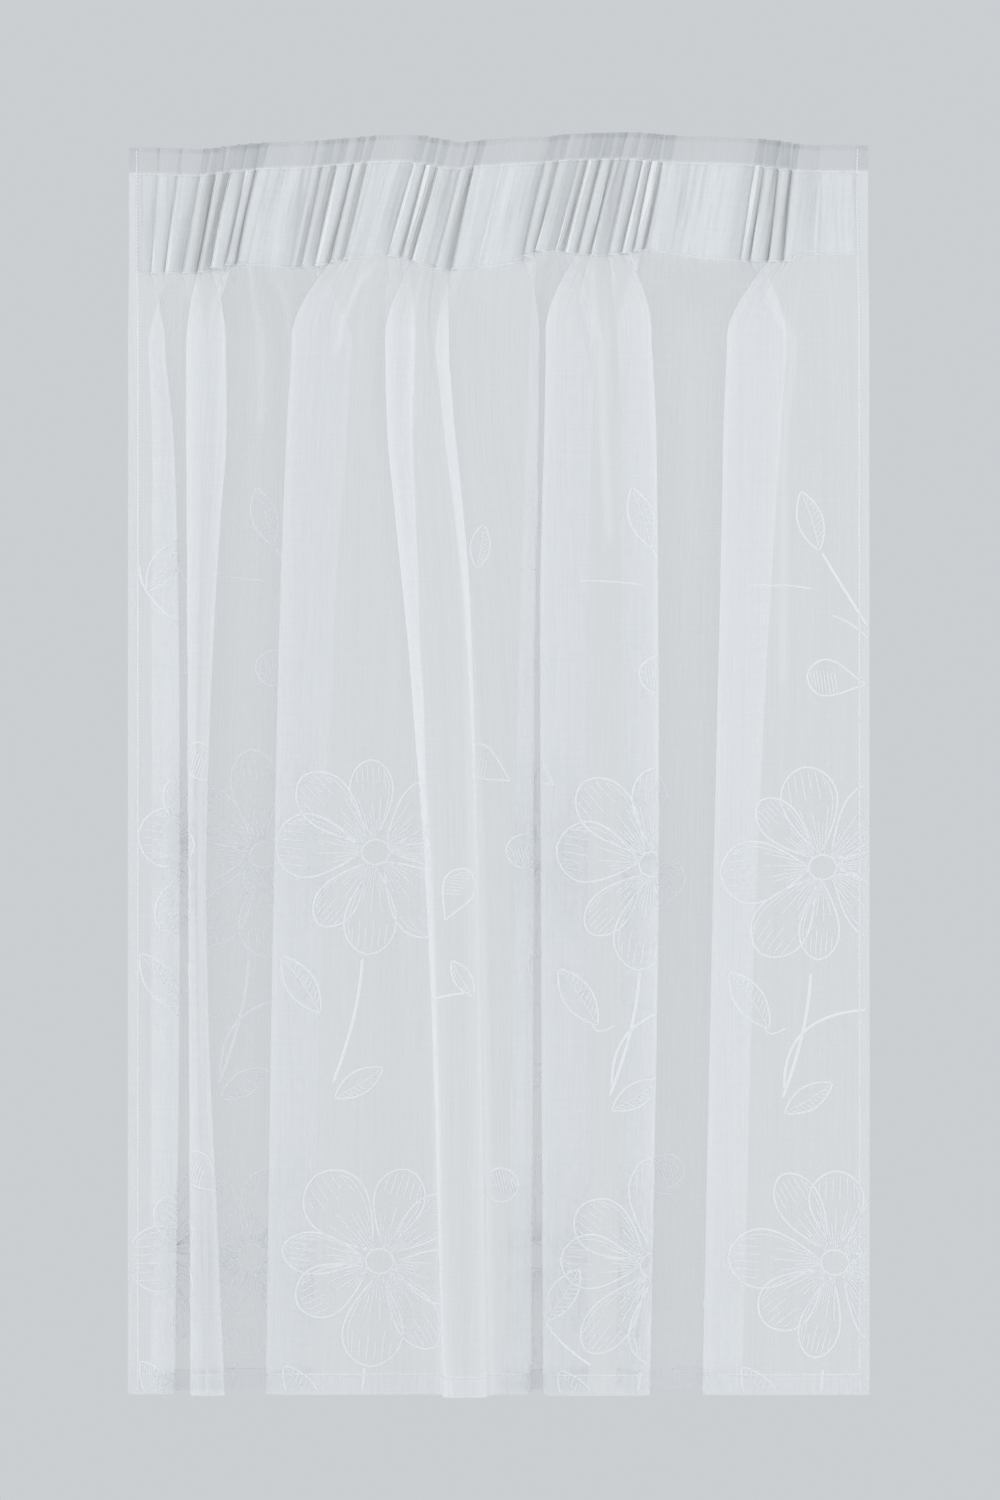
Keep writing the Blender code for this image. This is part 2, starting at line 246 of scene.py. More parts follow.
@dataclass
class Drape:
    """Where each point of the flat cloth hangs.

    Level sections of the cloth run back and forth as wide folds. Above them the tape draws the
    same width of cloth into bunches of narrow pleats, which lean to the right, are pressed flat
    and ripple a little.
    """

    hung_width: float = 740.0
    drop: float = 1250.0
    flat_width: float = 1640.0
    tape_top: float = 26.0
    tape_foot: float = 120.0
    shoulder: float = 230.0
    frill_lean: float = 6.0
    turn_radius: float = 9.0
    turn_per_width: float = 0.33
    turn_per_depth: float = 0.38
    depth_scales: tuple[float, float] = (0.3, 3.0)
    steepest: float = 1.62
    softest: float = 0.01
    sharpest: float = 5.0
    uneven: float = 0.2
    ease_in_flats: float = 1.1
    lean: float = 0.6
    lean_uneven: float = 0.25
    lean_period: float = 31.0
    lean_middle: float = 13.0
    lean_ends: float = 60.0
    lean_wander: float = 0.2
    wander_cloth: float = 13.0
    wander_drop: float = 28.0
    pressed_flat: float = 0.66
    ripple: float = 0.6
    ripple_cloth: float = 2.7
    ripple_drop: float = 60.0
    curve_steps: int = 24
    samples: int = 4000
    bisections: int = 30

    def __post_init__(self) -> None:
        """Works out the flat and gathered stretches of the heading, and the origin."""
        self.cloth = np.linspace(0, self.flat_width, self.samples + 1)
        self.step = self.flat_width / self.samples
        self.mids = (self.cloth[1:] + self.cloth[:-1]) / 2
        self.middles = self.folded_section(self.shoulder)[2]
        self.stretches = self.heading_stretches()
        held = [self.held_ends(stretch, 0.0)[0] for stretch in self.stretches]
        self.foot_cloth = np.interp(FOOT_PLACES, held, [stretch[0] for stretch in self.stretches])
        self.foot_cloth[-1] = self.flat_width
        top = self.held_curve(0.0)
        middle = int(np.abs(top[:, 0]).argmin())
        self.origin = np.array([0.0, top[middle, 1]])
        self.origin_sag = float(self.sag(0.0, self.cloth[middle : middle + 1])[0])

    def panel_ends(self, drop: float) -> tuple[list[float], list[float]]:
        """Left and right ends of every panel in the level section at a drop."""
        lefts, rights = [-self.hung_width / 2], []
        for fold in FOLDS:
            edge = along(drop, STATIONS, fold.edge)
            tuck = along(drop, STATIONS, fold.tuck)
            rights.append(edge if fold.front == "left" else edge + tuck)
            lefts.append(edge - tuck if fold.front == "left" else edge)
        rights.append(self.hung_width / 2)
        return lefts, rights

    def fold_corners(self, drop: float, depth_scale: float) -> tuple[np.ndarray, list[int]]:
        """Points that a level section passes.

        Args:
            drop: The section's distance below the top edge.
            depth_scale: How much deeper the folds are than in the panels' table.

        Returns:
            The points, and which of them are the middles of panels.
        """
        lefts, rights = self.panel_ends(drop)
        points, middles = [(lefts[0], PANELS[0].depth * depth_scale)], []
        for k, panel in enumerate(PANELS):
            depth = panel.depth * depth_scale
            width = rights[k] - lefts[k]
            middles.append(len(points))
            points.append(((lefts[k] + rights[k]) / 2, depth - panel.bow))
            if k == len(FOLDS):
                points.append((rights[k], depth))
                break
            following = PANELS[k + 1].depth * depth_scale
            onward = np.sign(following - depth)
            narrower = min(width, rights[k + 1] - lefts[k + 1])
            room = abs(following - depth) * self.turn_per_depth
            turn = min(self.turn_radius, narrower * self.turn_per_width, room)
            points.append((rights[k] - turn, depth))
            points.append((rights[k], depth + onward * turn))
            points.append((lefts[k + 1], following - onward * turn))
            points.append((lefts[k + 1] + turn, following))
        return np.array(points), middles

    def rounded(self, points: np.ndarray) -> np.ndarray:
        """A fine curve that passes the points in turn."""
        padded = np.vstack([2 * points[0] - points[1], points, 2 * points[-1] - points[-2]])
        knots = np.concatenate([[0], np.cumsum(np.linalg.norm(np.diff(padded, axis=0), axis=1) ** 0.5)])
        curve = []
        for k in range(1, len(padded) - 2):
            p, t = padded[k - 1 : k + 3], knots[k - 1 : k + 3]
            at = np.linspace(t[1], t[2], self.curve_steps, endpoint=False)[:, None]
            a = [(p[i] * (t[i + 1] - at) + p[i + 1] * (at - t[i])) / (t[i + 1] - t[i]) for i in range(3)]
            b = [(a[i] * (t[i + 2] - at) + a[i + 1] * (at - t[i])) / (t[i + 2] - t[i]) for i in range(2)]
            curve.append((b[0] * (t[2] - at) + b[1] * (at - t[1])) / (t[2] - t[1]))
        return np.vstack([*curve, points[-1:]])

    def folded_section(self, drop: float) -> tuple[np.ndarray, np.ndarray, list[float]]:
        """The section where the cloth falls free, deepened until it is as long as the cloth is wide.

        Args:
            drop: The section's distance below the top edge.

        Returns:
            The curve, the distance along it, and the places of the panels' middles on the cloth.
        """

        def length_at(scale: float) -> float:
            """Length of the section with its folds this much deeper."""
            return lengths(self.rounded(self.fold_corners(drop, scale)[0]))[-1]

        scale = between(*self.depth_scales, self.flat_width, length_at)
        points, middles = self.fold_corners(drop, scale)
        curve = self.rounded(points)
        run = lengths(curve)
        return curve, run, [run[k * self.curve_steps] for k in middles]

    def pleat_swing(self, phase: np.ndarray, tightness: float) -> np.ndarray:
        """Heading of the cloth over pleats: shallow waves up to tightness 1, then steeper walls."""
        steepness = self.steepest * min(tightness, 1.0)
        sharpness = self.softest + self.sharpest * max(tightness - 1.0, 0.0)
        return -steepness * np.tanh(sharpness * np.sin(phase)) / np.tanh(sharpness)

    def reach(self, headings: np.ndarray) -> float:
        """How far to the right a run of cloth gets with the given headings."""
        return float(np.cos(headings).sum() * self.step)

    def heading_stretches(self) -> list[tuple[float, float, Optional[int], Optional[int]]]:
        """Flat and gathered stretches of the heading: start, end, flat panel or none, and fold."""
        starts = [s - p.flat * self.ease_in_flats for s, p in zip(self.middles, PANELS)]
        ends = [s + p.flat * self.ease_in_flats for s, p in zip(self.middles, PANELS)]
        starts[0] = 0.0
        ends[0] = 2 * PANELS[0].flat * self.ease_in_flats
        starts[-1] = self.flat_width - 2 * PANELS[-1].flat * self.ease_in_flats
        ends[-1] = self.flat_width
        stretches = []
        for k in range(len(PANELS)):
            stretches.append((starts[k], ends[k], k, None))
            if k < len(FOLDS):
                stretches.append((ends[k], starts[k + 1], None, k))
        return stretches

    def phase(self, stretch: tuple, cloth: np.ndarray) -> np.ndarray:
        """Phase of the pleats along a stretch, a whole turn for each, some wider than others."""
        start, end, _, fold = stretch
        share = (cloth - start) / (end - start)
        pleats = 1 if fold is None else FOLDS[fold].pleats
        side = 1 if fold is None or fold % 2 else -1
        return FULL_TURN * pleats * (share + side * self.uneven * np.sin(FULL_TURN * share) / FULL_TURN)

    def held_ends(self, stretch: tuple, share: float) -> list[float]:
        """Where the tape holds the two ends of a stretch, from its foot at 0 to its top at 1."""
        _, _, panel, fold = stretch
        left, right = (panel, panel) if fold is None else (fold, fold + 1)
        at = [p.low + (p.high - p.low) * share for p in (PANELS[left], PANELS[right])]
        side = -1 if fold is None else 1
        ends = [at[0] + side * PANELS[left].flat, at[1] - side * PANELS[right].flat]
        if stretch[0] == 0.0:
            ends[0] = -self.hung_width / 2
        if stretch[1] == self.flat_width:
            ends[1] = self.hung_width / 2
        return ends

    def gathered(self, drop: float) -> np.ndarray:
        """Headings of the cloth where the tape gathers it."""
        share = (self.tape_foot - drop) / (self.tape_foot - self.tape_top)
        headings = np.zeros(self.samples)
        for stretch in self.stretches:
            inside = (self.mids >= stretch[0]) & (self.mids < stretch[1])
            phase = self.phase(stretch, self.mids[inside])
            left, right = self.held_ends(stretch, share)

            def narrowing(tightness: float, phase: np.ndarray = phase) -> float:
                """Less than nothing, by how far the stretch reaches."""
                return -self.reach(self.pleat_swing(phase, tightness))

            tightness = between(0.0, 2.0, left - right, narrowing)
            headings[inside] = self.pleat_swing(phase, tightness)
        return headings

    def placed(self, headings: np.ndarray, stops: Sequence[int], targets: np.ndarray) -> np.ndarray:
        """The curve with the given headings, eased so that it meets its targets.

        Args:
            headings: The direction of each short step of cloth.
            stops: The steps at which the curve has to be in place.
            targets: The places there.

        Returns:
            The curve's points.
        """
        steps = np.column_stack([np.cos(headings), np.sin(headings)]) * self.step
        curve = np.vstack([[0, 0], np.cumsum(steps, axis=0)])
        misses = [target - curve[stop] for stop, target in zip(stops, targets)]
        for i in range(2):
            curve[:, i] += np.interp(np.arange(self.samples + 1), stops, [m[i] for m in misses])
        return curve

    def held_curve(self, drop: float) -> np.ndarray:
        """The fine section at a drop where the tape holds the cloth."""
        share = (self.tape_foot - drop) / (self.tape_foot - self.tape_top)
        stops = [0, *(round(stretch[1] / self.step) for stretch in self.stretches)]
        ends = [-self.hung_width / 2, *(self.held_ends(stretch, share)[1] for stretch in self.stretches)]
        targets = np.column_stack([ends, np.zeros(len(ends))])
        return self.placed(self.gathered(drop), stops, targets)

    def free_curve(self, drop: float) -> np.ndarray:
        """The fine section at a drop where the cloth falls free in its wide folds."""
        curve, run, _ = self.folded_section(drop)
        run = run * self.flat_width / run[-1]
        return np.column_stack([np.interp(self.cloth, run, curve[:, i]) for i in range(2)])

    def leaned(self, drop: float) -> np.ndarray:
        """A held section with its pleats laid over, so that each covers the trough beside it."""
        curve = self.held_curve(drop)
        wander = self.lean_wander * np.sin(self.cloth / self.wander_cloth + drop / self.wander_drop)
        lean = self.lean * (1 + self.lean_uneven * np.sin(self.cloth / self.lean_period) + wander)
        inwards = smooth(np.minimum(self.cloth, self.flat_width - self.cloth) / self.lean_ends)
        front = np.minimum(curve[:, 1], 0)
        across = curve[:, 0] + lean * (front + self.lean_middle * inwards)
        uneven = self.cloth / self.ripple_cloth + np.sin(self.cloth / self.lean_period)
        ripple = self.ripple * np.sin(uneven + drop / self.ripple_drop) * inwards
        deep = curve[:, 1] - self.pressed_flat * front + ripple
        return np.column_stack([across, deep])

    def section(self, drop: float, held: bool, columns: np.ndarray) -> np.ndarray:
        """x and y of places along the cloth at a drop, held by the tape or free below it."""
        curve = self.leaned(drop) if held else self.free_curve(drop)
        section = np.column_stack([np.interp(columns, self.cloth, curve[:, i]) for i in range(2)])
        section[:, 1] += self.frill_lean * np.clip(drop / self.tape_top, 0, 1)
        return section - self.origin

    def sag(self, drop: float, cloth: np.ndarray) -> np.ndarray:
        """How far the heading hangs below a level line at places along the cloth."""
        top = np.interp(cloth, self.middles, [panel.sag for panel in PANELS])
        foot = np.interp(cloth, self.foot_cloth, FOOT_SAGS)
        share = np.clip((self.tape_foot - drop) / (self.tape_foot - self.tape_top), 0, 1)
        fading = 1 - smooth((drop - self.tape_foot) / (2 * self.shoulder))
        return (foot + (top - foot) * share) * fading


def eased(at: np.ndarray, stations: Sequence[float], rows: np.ndarray) -> np.ndarray:
    """Rows between others, on curves that never swing past them.

    Args:
        at: Where the rows are asked for.
        stations: Where the given rows hold.
        rows: The given rows.

    Returns:
        One row for each place that is asked for.
    """
    stations = np.array(stations, float)
    spans = np.diff(stations)[:, None, None]
    rises = np.diff(rows, axis=0) / spans
    same = rises[1:] * rises[:-1] > 0
    both = np.where(same, rises[1:] + rises[:-1], 1.0)
    inner = np.where(same, 2 * rises[1:] * rises[:-1] / both, 0.0)
    slopes = np.concatenate([rises[:1], inner, rises[-1:]])
    k = np.clip(np.searchsorted(stations, at, side="right") - 1, 0, len(stations) - 2)
    t = ((at - stations[k]) / np.diff(stations)[k])[:, None, None]
    return joined(t, spans[k], (rows[k], rows[k + 1]), (slopes[k], slopes[k + 1]))


@dataclass
class HungCloth:
    """The draped cloth as a fine grid in which any point of it is found."""

    drape: Drape
    column_step: float = 2.1
    heading_row_step: float = 4.0
    body_row_step: float = 20.0
    heading_stations: tuple[float, ...] = (0, 26, 58, 90, 120)
    body_stations: tuple[float, ...] = (120, 200, 240, 290, 360, 450, 580, 740, 900, 1080, 1250)
    open_by: float = 196.0
    opening_pace: float = 1.7

    def __post_init__(self) -> None:
        """Hangs the grid, presses the creases in and finds which way it faces."""
        drape = self.drape
        count = round(drape.flat_width / self.column_step) + 1
        self.columns = np.linspace(0, drape.flat_width, count)
        heading_rows = np.linspace(0, drape.shoulder, round(drape.shoulder / self.heading_row_step) + 1)
        free = drape.drop - drape.shoulder
        body_rows = np.linspace(drape.shoulder, drape.drop, round(free / self.body_row_step) + 1)
        self.drops = np.concatenate([heading_rows, body_rows[1:]])
        self.places = self.hung_places()
        self.face()
        rise, close = self.creased()
        self.places = self.places + self.fronts * rise[..., None]
        self.face()
        # Closeness sets how densely the cloth covers. It is also the mask of the painted highlight and
        # painted light that the voile's and tape's colours carry where the cloth turns sideways and along
        # crease ridges.
        self.closeness = np.clip(self.fronts[..., 0] ** 2 + close, -1, 1)

    def hung_places(self) -> np.ndarray:
        """Every place of the grid; its threads run straight from the tape's foot to the open folds."""
        drape, drops = self.drape, self.drops
        held = [drape.section(drop, True, self.columns) for drop in self.heading_stations]
        free = [drape.section(drop, False, self.columns) for drop in self.body_stations]
        heading = eased(np.minimum(drops, drape.tape_foot), self.heading_stations, np.array(held))
        body = eased(np.maximum(drops, drape.tape_foot), self.body_stations, np.array(free))
        way = np.clip((drops - drape.tape_foot) / (self.open_by - drape.tape_foot), 0, 1)
        opened = (1 - (1 - way) ** self.opening_pace)[:, None, None]
        sags = np.array([drape.sag(drop, self.columns) for drop in drops])
        heights = drape.origin_sag - drops[:, None] - sags
        return np.concatenate([heading * (1 - opened) + body * opened, heights[..., None]], axis=-1)

    def face(self) -> None:
        """Works out the direction that the cloth's right side faces at every place."""
        downwards = np.gradient(self.places, self.drops, axis=0)
        sideways = np.gradient(self.places, self.columns, axis=1)
        self.fronts = unit(np.cross(downwards, sideways))

    def creased(self) -> tuple[np.ndarray, np.ndarray]:
        """How far every place stands out for the creases, and how close its threads lie."""
        rise = np.zeros(self.places.shape[:2])
        close = np.zeros(self.places.shape[:2])
        for crease in CREASES:
            places = np.array(crease.places, float)
            middle = np.interp(self.drops, places[:, 1], places[:, 0])
            from_ends = np.minimum(self.drops - places[0, 1], places[-1, 1] - self.drops)
            fading = smooth(from_ends / CREASE_ENDS)
            beside = (self.columns[None, :] - middle[:, None]) / crease.spread
            pressed = fading[:, None] * np.exp(-(beside**2))
            rise += crease.rise * pressed
            close += crease.close * pressed**2
        return rise, close

    def found(self, grid: np.ndarray, cloth: np.ndarray, drop: np.ndarray) -> np.ndarray:
        """Values of a grid between its columns and rows.

        Args:
            grid: One value or vector for every row and column.
            cloth: Places along the flat width.
            drop: Drops below the top edge, one for each place.

        Returns:
            The values there.
        """
        cloth, drop = np.broadcast_arrays(cloth, drop)
        i = np.interp(cloth, self.columns, np.arange(len(self.columns)))
        j = np.interp(drop, self.drops, np.arange(len(self.drops)))
        left = np.minimum(i.astype(int), len(self.columns) - 2)
        above = np.minimum(j.astype(int), len(self.drops) - 2)
        u, v = (i - left)[..., None], (j - above)[..., None]
        upper = grid[above, left] * (1 - u) + grid[above, left + 1] * u
        lower = grid[above + 1, left] * (1 - u) + grid[above + 1, left + 1] * u
        return upper * (1 - v) + lower * v

    def at(self, cloth: np.ndarray, drop: np.ndarray, lift: Numbers = 0.0) -> np.ndarray:
        """Places on the hung cloth, or this far in front of it."""
        fronts = unit(self.found(self.fronts, cloth, drop))
        return self.found(self.places, cloth, drop) + fronts * np.asarray(lift)[..., None]


class Socket:
    """A shader value that Python's own signs add, subtract and multiply."""

    def __init__(self, nodes: "Nodes", link: bpy.types.NodeSocket) -> None:
        """Keeps the material that the socket is in."""
        self.nodes = nodes
        self.link = link

    def maths(self, operation: str, *others: Union["Socket", float], first: bool = True) -> "Socket":
        """Joins this value to others through one Math node."""
        values = [self, *others] if first else [*others, self]
        inputs = dict(enumerate(values))
        return self.nodes.add("ShaderNodeMath", {"operation": operation}, inputs)["Value"]

    def __add__(self, other: Union["Socket", float]) -> "Socket":
        """The sum."""
        return self.maths("ADD", other)

    __radd__ = __add__

    def __mul__(self, other: Union["Socket", float]) -> "Socket":
        """The product."""
        return self.maths("MULTIPLY", other)

    __rmul__ = __mul__

    def __sub__(self, other: Union["Socket", float]) -> "Socket":
        """The difference."""
        return self.maths("SUBTRACT", other)

    def __rsub__(self, other: float) -> "Socket":
        """The difference the other way round."""
        return self.maths("SUBTRACT", other, first=False)

    def kept(self) -> "Socket":
        """The value, never under nothing or over one."""
        return self.maths("MAXIMUM", 0.0).maths("MINIMUM", 1.0)


class Added:
    """A node that was added, whose outputs are found by name or number."""

    def __init__(self, nodes: "Nodes", node: bpy.types.Node) -> None:
        """Keeps the node and the material that it is in."""
        self.nodes = nodes
        self.node = node

    def __getitem__(self, name: Union[str, int]) -> Socket:
        """The output with this name or number."""
        return Socket(self.nodes, self.node.outputs[name])


class Nodes:
    """The shader nodes of one material."""

    def __init__(self, name: str) -> None:
        """Starts a material that has its surface shader only."""
        self.material = bpy.data.materials.new(name)
        self.material.use_nodes = True
        self.shader = self.material.node_tree.nodes["Principled BSDF"]

    def add(
        self,
        kind: str,
        settings: Optional[dict[str, object]] = None,
        inputs: Optional[dict[Union[str, int], object]] = None,
    ) -> Added:
        """Adds a node.

        Args:
            kind: The node's type.
            settings: What is set on the node itself, before its sockets.
            inputs: Values or links of its sockets, by name or number.

        Returns:
            The node.
        """
        node = self.material.node_tree.nodes.new(kind)
        for name, value in (settings or {}).items():
            setattr(node, name, value)
        for name, value in (inputs or {}).items():
            self.join(value, node.inputs[name])
        return Added(self, node)

    def join(self, value: object, socket: bpy.types.NodeSocket) -> None:
        """Links a value to a socket, or sets it there."""
        if isinstance(value, Socket):
            self.material.node_tree.links.new(value.link, socket)
        else:
            socket.default_value = value

    def surface(self, **values: object) -> bpy.types.Material:
        """Sets the shader's sockets, with spaces for underscores, and gives the material."""
        for name, value in values.items():
            self.join(value, self.shader.inputs[name.replace("_", " ")])
        return self.material

    def flat_place(self, across: float, down: float) -> Socket:
        """The place on the flat cloth, at so many units a metre across and down it."""
        place = self.add("ShaderNodeUVMap", {"uv_map": FLAT_MAP})["UV"]
        scaled = {"Vector": place, "Scale": (across, down, 1.0)}
        return self.add("ShaderNodeMapping", {}, scaled)["Vector"]

    def cloudy(self, across: float, down: float, detail: float = 2.0) -> Socket:
        """Soft unevenness around nothing, from about -0.5 to 0.5."""
        inputs = {"Vector": self.flat_place(across, down), "Scale": 1.0, "Detail": detail}
        return self.add("ShaderNodeTexNoise", {"noise_dimensions": "2D"}, inputs)["Fac"] - 0.5

    def part_of_place(self, axis: str) -> Socket:
        """One part of the place on the flat cloth, X along its width or Y up it, in metres."""
        place = self.add("ShaderNodeUVMap", {"uv_map": FLAT_MAP})["UV"]
        return self.add("ShaderNodeSeparateXYZ", {}, {"Vector": place})[axis]

    def threads(self, pitch: float, crosswise: bool) -> Socket:
        """Rows of round threads a pitch apart, from 0 between them to 1 on them."""
        run = self.part_of_place("Y" if crosswise else "X") * (np.pi / (pitch * MM))
        return run.maths("SINE").maths("ABSOLUTE")

    def close(self) -> Socket:
        """How close the cloth's threads lie, from 0 to 1, as its mesh says, which is also the mask of the
        painted highlight where the cloth turns.
        """
        return self.add("ShaderNodeAttribute", {"attribute_name": CLOSENESS})["Fac"]

    def bump(self, height: Socket, strength: float, depth: float) -> Socket:
        """A surface direction that follows a height, whose unit is this many millimetres."""
        inputs = {"Height": height, "Strength": strength, "Distance": depth * MM}
        return self.add("ShaderNodeBump", {}, inputs)["Normal"]

    def blended(self, share: Socket, low: Union[Socket, tuple], high: tuple) -> Socket:
        """A colour between two others."""
        low = low if isinstance(low, Socket) else (*low, 1.0)
        inputs = {MIX_FACTOR: share, MIX_LOW: low, MIX_HIGH: (*high, 1.0)}
        return self.add("ShaderNodeMix", {"data_type": "RGBA"}, inputs)[MIX_RESULT]


@dataclass(frozen=True)
class SheerVoile:
    """Open plain-woven cloth that closes up where it turns into a fold, and whose colour carries a painted
    highlight there.
    """

    name: str = "sheer_voile"
    thin: Colour = (0.81, 0.825, 0.84)
    thick: Colour = (0.87, 0.88, 0.89)
    # Painted highlight: the lighter colour where the cloth turns sideways into a fold or rises in a crease,
    # standing in for the bright rims that light gives those turns.
    gathered: Colour = (0.95, 0.96, 0.97)
    # Painted shade: the darker colour laid over the frill above the tape, where no tape stands behind the
    # cloth.
    frill_shade: Colour = (0.62, 0.64, 0.66)
    cover: float = 0.36
    cover_where_close: float = 0.24
    slub_cover: float = 0.07
    streak_cover: float = 0.12
    cloud_cover: float = 0.05
    level_share: float = 0.4
    thread_pitch: float = 0.55
    frill: float = 26.0
    frill_shade_edge: float = 2.5
    sheen: float = 0.6
    sheen_spread: float = 0.4
    roughness: float = 0.85
    roughness_range: float = 0.2
    slub_height: float = 2.0
    relief: float = 0.35
    relief_depth: float = 0.2
    upright_slubs: tuple[float, float] = (900.0, 14.0)
    level_slubs: tuple[float, float] = (16.0, 800.0)
    streaks: tuple[float, float, float] = (140.0, 3.0, 3.0)
    clouds: tuple[float, float] = (7.0, 4.0)

    def make(self) -> bpy.types.Material:
        """The material, whose cover and colour vary with slubs in both its threads, with a painted highlight
        at fold turns and painted shade over the frill.
        """
        nodes = Nodes(self.name)
        slubs = nodes.cloudy(*self.upright_slubs) + nodes.cloudy(*self.level_slubs) * self.level_share
        streaks, cloud, close = nodes.cloudy(*self.streaks), nodes.cloudy(*self.clouds), nodes.close()
        uneven = slubs * self.slub_cover + streaks * self.streak_cover + cloud * self.cloud_cover
        cover = close * self.cover_where_close + uneven + self.cover
        weave = nodes.threads(self.thread_pitch, False) + nodes.threads(self.thread_pitch, True)
        cloth = nodes.blended((slubs + 0.5).kept(), self.thin, self.thick)
        # Painted highlight: the colour lightens towards the gathered colour as the closeness mask rises at
        # fold turns and crease ridges.
        turned = nodes.blended(close.kept(), cloth, self.gathered)
        # Painted shade: the colour darkens over the frill above the tape's top edge.
        height = nodes.part_of_place("Y") + self.frill * MM
        return nodes.surface(
            Base_Color=nodes.blended((height * (1 / (self.frill_shade_edge * MM))).kept(), turned, self.frill_shade),
            Roughness=(slubs * self.roughness_range + self.roughness).kept(),
            Alpha=cover.kept(),
            Sheen_Weight=self.sheen,
            Sheen_Roughness=self.sheen_spread,
            Normal=nodes.bump(weave + slubs * self.slub_height, self.relief, self.relief_depth),
        )


@dataclass(frozen=True)
class WovenTape:
    """Dense ribbed tape."""

    name: str = "woven_tape"
    # Painted shade: the colour is darker in the valleys between ribs and picks and lighter on their crests,
    # following the same rows that raise the bump.
    valley_shade: Colour = (0.81, 0.83, 0.86)
    ridge: Colour = (0.88, 0.90, 0.925)
    # Painted light: the brighter, creamier colour where the tape turns sideways in its pleats, lifting the
    # shade on the pleat walls.
    gathered: Colour = (0.96, 0.97, 0.92)
    # Painted shade: the darker colour laid in the low streaks that also sink the bump, standing in for shade
    # in the tape's fine gathers.
    streak_shade: Colour = (0.62, 0.63, 0.60)
    rib_pitch: float = 1.6
    pick_pitch: float = 0.7
    rib_shade_share: float = 0.5
    pick_shade_share: float = 0.2
    cloud_share: float = 0.6
    least_share: float = 0.2
    streak_shade_from: float = 0.08
    streak_shade_pace: float = 7.0
    streak_shade_strength: float = 0.7
    sheen: float = 0.3
    roughness: float = 0.8
    roughness_range: float = 0.15
    pick_height: float = 0.5
    streak_height: float = 3.0
    relief: float = 0.6
    relief_depth: float = 0.4
    clouds: tuple[float, float] = (30.0, 20.0)
    streaks: tuple[float, float, float] = (330.0, 9.0, 3.0)

    def make(self) -> bpy.types.Material:
        """The material, with ribs along the drop and finer threads across them, and painted shade between
        them and in its fine streaks.
        """
        nodes = Nodes(self.name)
        ribs = nodes.threads(self.rib_pitch, False)
        picks = nodes.threads(self.pick_pitch, True)
        cloud = nodes.cloudy(*self.clouds)
        # Painted shade between ribs and picks; the cloud adds the tape's own uneven tone.
        woven = ribs * self.rib_shade_share + picks * self.pick_shade_share
        share = (woven + cloud * self.cloud_share + self.least_share).kept()
        tape = nodes.blended(share, self.valley_shade, self.ridge)
        # Painted light: the tape brightens towards the gathered colour where the closeness mask rises, on
        # pleat walls turned away from the front.
        gathered = nodes.blended(nodes.close().kept(), tape, self.gathered)
        streaks = nodes.cloudy(*self.streaks)
        # Painted shade: darkens the tape where the streak noise is low, in the same streaks that sink the
        # bump.
        streak_shade_mask = ((streaks * -1.0 - self.streak_shade_from) * self.streak_shade_pace).kept()
        height = ribs + picks * self.pick_height + streaks * self.streak_height
        return nodes.surface(
            Base_Color=nodes.blended(streak_shade_mask * self.streak_shade_strength, gathered, self.streak_shade),
            Roughness=(cloud * self.roughness_range + self.roughness).kept(),
            Sheen_Weight=self.sheen,
            Normal=nodes.bump(height, self.relief, self.relief_depth),
        )


@dataclass(frozen=True)
class SewnThread:
    """Bright thread, laid stitch beside stitch."""

    name: str = "sewn_thread"
    shaded: Colour = (0.78, 0.80, 0.82)
    bright: Colour = (0.92, 0.93, 0.94)
    cover: float = 0.75
    stitch_pitch: float = 1.3
    stitch_share: float = 0.6
    cloud_share: float = 0.8
    least_share: float = 0.2
    sheen: float = 0.2
    roughness: float = 0.5
    roughness_range: float = 0.2
    relief: float = 0.3
    relief_depth: float = 0.3
    clouds: tuple[float, float] = (60.0, 60.0)

    def make(self) -> bpy.types.Material:
        """The material, with a ridge for every stitch across the line."""
        nodes = Nodes(self.name)
        stitches = nodes.threads(self.stitch_pitch, False)
        cloud = nodes.cloudy(*self.clouds)
        share = (stitches * self.stitch_share + cloud * self.cloud_share + self.least_share).kept()
        return nodes.surface(
            Base_Color=nodes.blended(share, self.shaded, self.bright),
            Roughness=(cloud * self.roughness_range + self.roughness).kept(),
            Alpha=self.cover,
            Sheen_Weight=self.sheen,
            Normal=nodes.bump(stitches, self.relief, self.relief_depth),
        )


